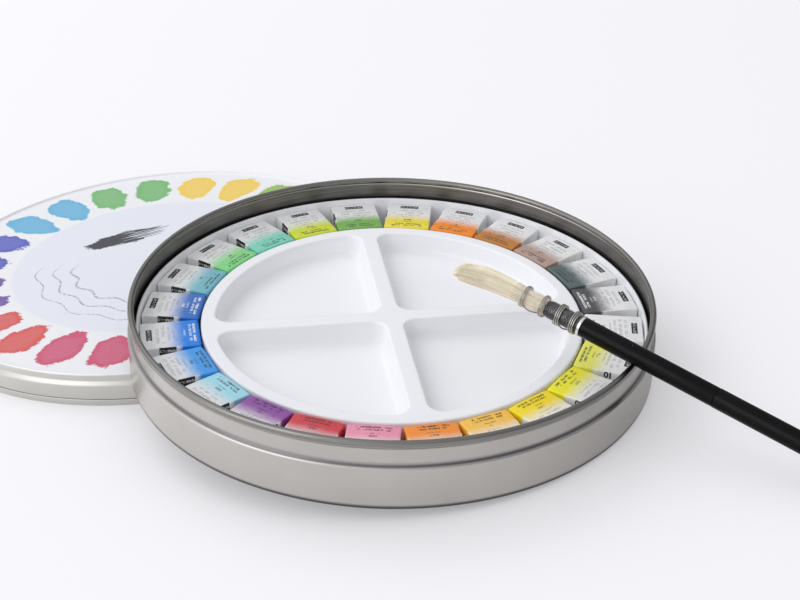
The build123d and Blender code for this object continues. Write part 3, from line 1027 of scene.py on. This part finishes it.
# Packed core under the strands, and how far the tuft stays under the part's top
CORE_TIP = -58.5
CORE_SHARE = 0.93
CORE_SIDES = 72
CORE_STEPS = 24
TOP_MARGIN = 0.12

# Bundle of hair: place along the brush, radius, droop
BUNDLE = [(-30.0, 2.5, 0.0), (-39.2, 2.7, 0.0), (-45.0, 3.1, 0.15), (-50.0, 3.4, 0.5),
          (-55.0, 3.5, 1.2), (-60.0, 3.2, 2.45), (-63.5, 2.8, 3.5), (-66.0, 2.3, 4.4)]


def along_bundle(place):
    """Radius and droop of the hair at a distance along the brush."""
    for (near, radius, droop), (far, next_radius, next_droop) in zip(BUNDLE, BUNDLE[1:]):
        if place >= far:
            share = (near - place) / (near - far)
            return radius + (next_radius - radius) * share, droop + (next_droop - droop) * share
    return BUNDLE[-1][1:]


def make_hair():
    """Fine strands in clumps over a packed core, with a ragged, drooping tip."""
    rng = random.Random(HAIR_SEED)
    bm = bmesh.new()
    shade = bm.verts.layers.float.new("shade")
    add_core(bm, shade, rng)
    clumps = [(rng.random(), rng.uniform(-0.3, 0.3), rng.gauss(0, CLUMP_AIM),
               rng.gauss(0, CLUMP_AIM)) for _ in range(CLUMPS)]
    for number in range(STRANDS):
        share = sqrt((number + 0.5) / STRANDS)
        turn = radians(GOLDEN_ANGLE * number)
        clump = int(CLUMPS * (turn / (2 * pi) % 1) + 7 * share) % CLUMPS
        length, tone, drift, lift = clumps[clump]
        tip = TUFT_TIP + 3.6 * length ** 1.5 + 4.0 * rng.random() ** 2 + 2.6 * share ** 4
        if share > LONG_SHARE:
            start = HAIR_END - 1.6 * rng.random()
        else:
            start = CORE_TIP + 8.0 * share ** 4
        aim = (drift + rng.gauss(0, STRAND_AIM), lift + rng.gauss(0, STRAND_AIM))
        thick = rng.uniform(*STRAND_THICK)
        tone = min(max(MIDDLE_TONE + tone + rng.gauss(0, TONE_SPREAD), 0.0), 1.0)
        loops = [strand_loop(bm, start, tip, step / STRAND_STEPS, share, turn, aim, thick)
                 for step in range(STRAND_STEPS + 1)]
        for loop in loops:
            for vertex in loop:
                vertex[shade] = tone
        skin(bm, loops)
    piece("hair_strands", bm, BRUSH, "brush", [hair_material()], ["bristle_tuft"])


def add_core(bm, shade, rng):
    """Closed bundle of packed hair under the loose strands."""
    tones = [rng.random() ** 0.5 for _ in range(CORE_SIDES)]
    rows = []
    for step in range(CORE_STEPS + 1):
        place = HAIR_END - 0.6 + (CORE_TIP - HAIR_END + 0.6) * step / CORE_STEPS
        radius, droop = along_bundle(place)
        taper = min(1.0, 0.5 + 0.07 * (place - CORE_TIP))
        row = []
        for side in range(CORE_SIDES):
            turn = 2 * pi * side / CORE_SIDES
            reach = radius * CORE_SHARE * taper * (0.97 + 0.03 * tones[side])
            vertex = bm.verts.new((place, reach * cos(turn), reach * sin(turn) - droop))
            vertex[shade] = tones[side]
            row.append(vertex)
        rows.append(row)
    skin(bm, rows)


def tuft_ceiling(place):
    """Height above the brush's line that stays under the part's top."""
    top = cad_high.z / MM - TOP_MARGIN
    slope = radians(BRUSH_SLOPE)
    return (top - BRUSH_POINT[2] + place * sin(slope)) / cos(slope)


def strand_loop(bm, start, tip, part, share, turn, aim, thick):
    """Corners of a strand at a part of its length."""
    place = start + (tip - start) * part
    radius, droop = along_bundle(place)
    free = max(0.0, (TUFT_ROOT - place) / (TUFT_ROOT - TUFT_TIP)) ** 1.5
    across = radius * share * cos(turn) + aim[0] * free
    up = min(radius * share * sin(turn) - droop + aim[1] * free, tuft_ceiling(place))
    size = thick * (1 - 0.75 * part ** 4)
    spins = [turn + 2 * pi * side / STRAND_SIDES for side in range(STRAND_SIDES)]
    return [bm.verts.new((place, across + size * cos(spin), up + size * sin(spin)))
            for spin in spins]


def hair_material():
    """Cream hair, each strand between straw and white."""
    look = Look("hair")
    ramp = look.add("ValToRGB")
    dark, pale = ramp.color_ramp.elements
    dark.color = (*linear(210, 176, 124), 1)
    pale.color = (*linear(255, 249, 230), 1)
    pale.position = 0.6
    look.feed(ramp.inputs[0], look.attribute("shade").outputs["Fac"])
    look.paint(ramp.outputs[0], 0.5)
    look.set("Subsurface Weight", 0.1)
    look.set("Subsurface Radius", (1.0, 0.85, 0.6))
    look.set("Subsurface Scale", 0.0006)
    return look.material


def make_handle():
    """Handle of two halves. Its outlines are (radius, place along the brush, rounding)."""
    black = black_lacquer()
    front = [(0, TENON_FRONT, 0), (2.35, TENON_FRONT, 0.5), (2.75, -29.3, 0.6), (2.75, -17.5, 0.0),
             (3.1, -17.5, 0.15), (3.1, 0.0, 0), (3.05, 28.4, 0.12), (1.5, 28.4, 0.05),
             (1.5, 37.0, 0.3), (0, 37.4, 0)]
    bm = lathe(fillet_path(front, 4), BRUSH_SEGMENTS, closed=False, axis="X")
    for face in bm.faces:
        face.material_index = 1 if face.calc_center_median().x < TENON_END else 0
    piece("lacquered_front", bm, BRUSH, "brush", [black, tenon_wood()], ["handle_front"])
    rear = fillet_path([(1.56, 28.46, 0), (3.12, 28.46, 0.14), (3.12, 56.0, 20.0), (2.6, 95.1, 0)])
    for angle in range(22, 91, 6):
        turn = radians(angle)
        rear.append((END_RADIUS * cos(turn), END_CENTRE + END_RADIUS * sin(turn)))
    rear += [(0, END_CENTRE + END_RADIUS), (0, 37.9), (1.56, 37.9)]
    bm = lathe(rear, BRUSH_SEGMENTS, axis="X")
    piece("lacquered_rear", bm, BRUSH, "brush", [black], ["handle_rear"])


def polished(name, colour, roughness):
    """Bright metal with a faint cloud of handling."""
    look = Look(name)
    cloud = look.noise(700.0, 3.0)
    tone = look.mix(cloud, dimmed(colour, 0.85), colour)
    look.paint(tone, look.affine(cloud, 0.12, roughness))
    look.set("Metallic", 1.0)
    return look.material


def clear_quill():
    """Almost clear quill, with a cloudy patch here and there."""
    look = Look("clear_quill")
    cloud = look.noise(350.0, 3.0)
    look.paint(look.mix(cloud, linear(120, 116, 120), linear(196, 186, 176)), 0.06)
    look.set("Specular IOR Level", 1.0)
    look.set("Alpha", look.affine(look.rise(cloud, 0.4, 0.7), 0.08, 0.04))
    return look.material


def make_ferrule():
    """Quill tube and silver ring, with outlines like the handle's."""
    tube = [(QUILL_INNER, QUILL_FRONT, 0), (QUILL_OUTER, QUILL_FRONT, 0.06),
            (QUILL_OUTER, QUILL_END, 0.06), (QUILL_INNER, QUILL_END, 0.06),
            (QUILL_INNER, QUILL_FRONT, 0)]
    bm = lathe(fillet_path(tube, 3)[:-1], BRUSH_SEGMENTS, axis="X")
    piece("clear_quill_tube", bm, BRUSH, "brush", [clear_quill()], ["quill_ferrule"])
    silver = polished("silver", (0.86, 0.86, 0.87), 0.12)
    band = [(2.81, -18.5, 0), (3.25, -18.5, 0.12), (3.25, -17.56, 0.12), (2.81, -17.56, 0.05),
            (2.81, -18.5, 0)]
    bm = lathe(fillet_path(band, 4)[:-1], BRUSH_SEGMENTS, axis="X")
    piece("silver_band", bm, BRUSH, "brush", [silver], ["silver_ring"])


# Binding wires: the run between two windings starts at RUN_SIDE degrees and takes RUN_TURN
WIRE_RADIUS = 0.23
WIRE_PITCH = 0.62
WIRE_TRACK = QUILL_OUTER + 0.03 + WIRE_RADIUS
WIRE_STEPS = 20
RUN_STEPS = 10
RUN_SIDE = 205
RUN_TURN = 70


def wire_points(first, second, turns):
    """Middle line of a wire: turns, a run along the quill, and turns again."""
    points = []

    def place(along, angle):
        turn = radians(angle)
        points.append((along, WIRE_TRACK * cos(turn), WIRE_TRACK * sin(turn)))

    def wind(start, side):
        for step in range(turns * WIRE_STEPS + 1):
            place(start + WIRE_PITCH * step / WIRE_STEPS, side + 360 * step / WIRE_STEPS)

    wind(first, RUN_SIDE)
    leave = first + turns * WIRE_PITCH
    for step in range(1, RUN_STEPS):
        share = step / RUN_STEPS
        ease = share * share * (3 - 2 * share)
        place(leave + (second - leave) * share, RUN_SIDE + RUN_TURN * ease)
    wind(second, RUN_SIDE + RUN_TURN)
    return points


def make_wire(name, node, first, second, turns, metal):
    """Wire of two windings, at the places first and second along the brush."""
    curve = bpy.data.curves.new(name, "CURVE")
    curve.dimensions = "3D"
    curve.bevel_depth = WIRE_RADIUS
    curve.bevel_resolution = 3
    curve.use_fill_caps = True
    spline = curve.splines.new("NURBS")
    points = wire_points(first, second, turns)
    spline.points.add(len(points) - 1)
    for point, place in zip(spline.points, points):
        point.co = (*place, 1)
    spline.order_u = 3
    spline.use_endpoint_u = True
    mesh = curve_mesh(curve, metal)
    mesh.transform(BRUSH)
    obj = link(bpy.data.objects.new(name, mesh))
    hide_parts(node)
    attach(obj, "brush")


def make_brush():
    make_hair()
    make_handle()
    make_ferrule()
    # The wire's grey is darkened from bright metal as painted shade from the quill beside it.
    metal = polished("bright_wire", (0.54, 0.525, 0.49), 0.18)
    make_wire("front_binding", "binding_wire_front", -39.1, -32.4, 2, metal)
    make_wire("rear_binding", "binding_wire_rear", -26.6, -21.4, 3, metal)


# Stage: floor, world, lamps and camera

# Room's light on the left and right: in reflections, and on matt surfaces
ROOM_LEFT = 1.25
ROOM_RIGHT = 0.40
SOFT_LEFT = 1.05
SOFT_RIGHT = 0.60

# Share of the light that is missing low down behind
ROOM_BEHIND = 0.55

# Floor, in metres: its colour for the lamps and for the camera, its glow towards the camera,
# and what reflections find more of on its left and less on its right
FLOOR_SIZE = 6.0
FLOOR_DROP = 0.00005
FLOOR_LIT = (0.90, 0.90, 0.92)
FLOOR_SEEN = (0.655, 0.65, 0.67)
FLOOR_GLOW = 0.3
GLOW_GAIN = 0.7
GLOW_LOSS = 0.3
GAIN_SPAN = (-0.02, -0.3)
LOSS_SPAN = (0.0, 0.2)


def make_floor():
    """Plain pale floor, lit brightly by the lamps and seen a little darker than that."""
    mesh = bpy.data.meshes.new("floor")
    size = FLOOR_SIZE
    corners = [(-size, -size, 0), (size, -size, 0), (size, size, 0), (-size, size, 0)]
    mesh.from_pydata(corners, [], [(0, 1, 2, 3)])
    floor_obj = link(bpy.data.objects.new("floor", mesh))
    floor_obj.location.z = -FLOOR_DROP
    look = Look("floor")
    path = look.add("LightPath")
    glossy = path.outputs["Is Glossy Ray"]
    seen = look.math("MAXIMUM", path.outputs["Is Camera Ray"], path.outputs["Is Transmission Ray"])
    seen = look.math("MAXIMUM", seen, glossy)
    look.paint(look.mix(seen, FLOOR_LIT, FLOOR_SEEN), 0.8)
    look.set("Emission Color", (0.985, 0.98, 1.0))
    # Painted light: in reflections the floor glows more on its left and less on its right, which
    # lights the tin's left side and shades its right.
    across = look.split(look.position())[0]
    brighter = look.times(look.rise(across, *GAIN_SPAN), GLOW_GAIN)
    dimmer = look.times(look.rise(across, *LOSS_SPAN), GLOW_LOSS)
    slope = look.times(look.minus(brighter, dimmer), glossy)
    look.set("Emission Strength", look.times(seen, look.plus(slope, FLOOR_GLOW)))
    mesh.materials.append(look.material)


def make_world():
    """Bright room on the left that falls off to the right and low down behind."""
    world = bpy.data.worlds.new("studio")
    bpy.context.scene.world = world
    world.use_nodes = True
    look = Nodes(world.node_tree)
    room = look.tree.nodes["Background"]
    across, back, up = look.split(look.add("TexCoord").outputs["Generated"])
    look.feed(room.inputs["Color"], (0.97, 0.975, 1.0))
    glossy = look.add("LightPath").outputs["Is Glossy Ray"]
    left = look.affine(glossy, ROOM_LEFT - SOFT_LEFT, SOFT_LEFT)
    right = look.affine(glossy, ROOM_RIGHT - SOFT_RIGHT, SOFT_RIGHT)
    drop = look.times(look.rise(across, -0.9, 0.9), look.minus(left, right))
    behind = look.times(look.rise(back, 0.0, 0.5), look.rise(up, 0.6, 0.3))
    shade = look.invert(look.times(behind, ROOM_BEHIND))
    look.feed(room.inputs["Strength"], look.times(look.minus(left, drop), shade))


def make_lamp(name, place, size, power, shines):
    """Square lamp, aimed at the part. Reflections show it only where shines is true."""
    lamp = bpy.data.lights.new(name, "AREA")
    lamp.size = size
    lamp.energy = power
    obj = link(bpy.data.objects.new(name, lamp))
    obj.visible_glossy = shines
    obj.location = place
    obj.rotation_mode = "QUATERNION"
    obj.rotation_quaternion = Vector(place).to_track_quat("Z", "Y")


def make_lamps():
    """Soft key light from behind on the left, and a weaker fill in front, in metres and watts."""
    make_lamp("key", (-0.9, 0.9, 1.1), 1.1, 6.0, False)
    make_lamp("fill", (-0.9, -0.7, 0.8), 0.9, 3.2, True)


def make_camera():
    """The photograph's viewpoint, looking along the table with a slight roll."""
    camera = bpy.data.cameras.new("camera")
    camera.lens = CAMERA_LENS
    camera.sensor_fit = "HORIZONTAL"
    camera.clip_start = 0.01
    camera.clip_end = 50
    pitch, roll = radians(CAMERA_PITCH), radians(CAMERA_ROLL)
    right = Vector((cos(roll), -sin(roll) * sin(pitch), -sin(roll) * cos(pitch)))
    up = Vector((sin(roll), cos(roll) * sin(pitch), cos(roll) * cos(pitch)))
    matrix = Matrix((right, up, right.cross(up))).transposed().to_4x4()
    matrix.translation = LID_CENTRE + Vector(CAMERA_FROM_LID) * MM
    obj = link(bpy.data.objects.new("camera", camera))
    obj.matrix_world = matrix
    bpy.context.scene.camera = obj


make_camera()
make_floor()
make_world()
make_lamps()
make_base()
make_lid()
make_tray()
make_pans()
make_brush()

bpy.context.scene.view_settings.view_transform = "Standard"
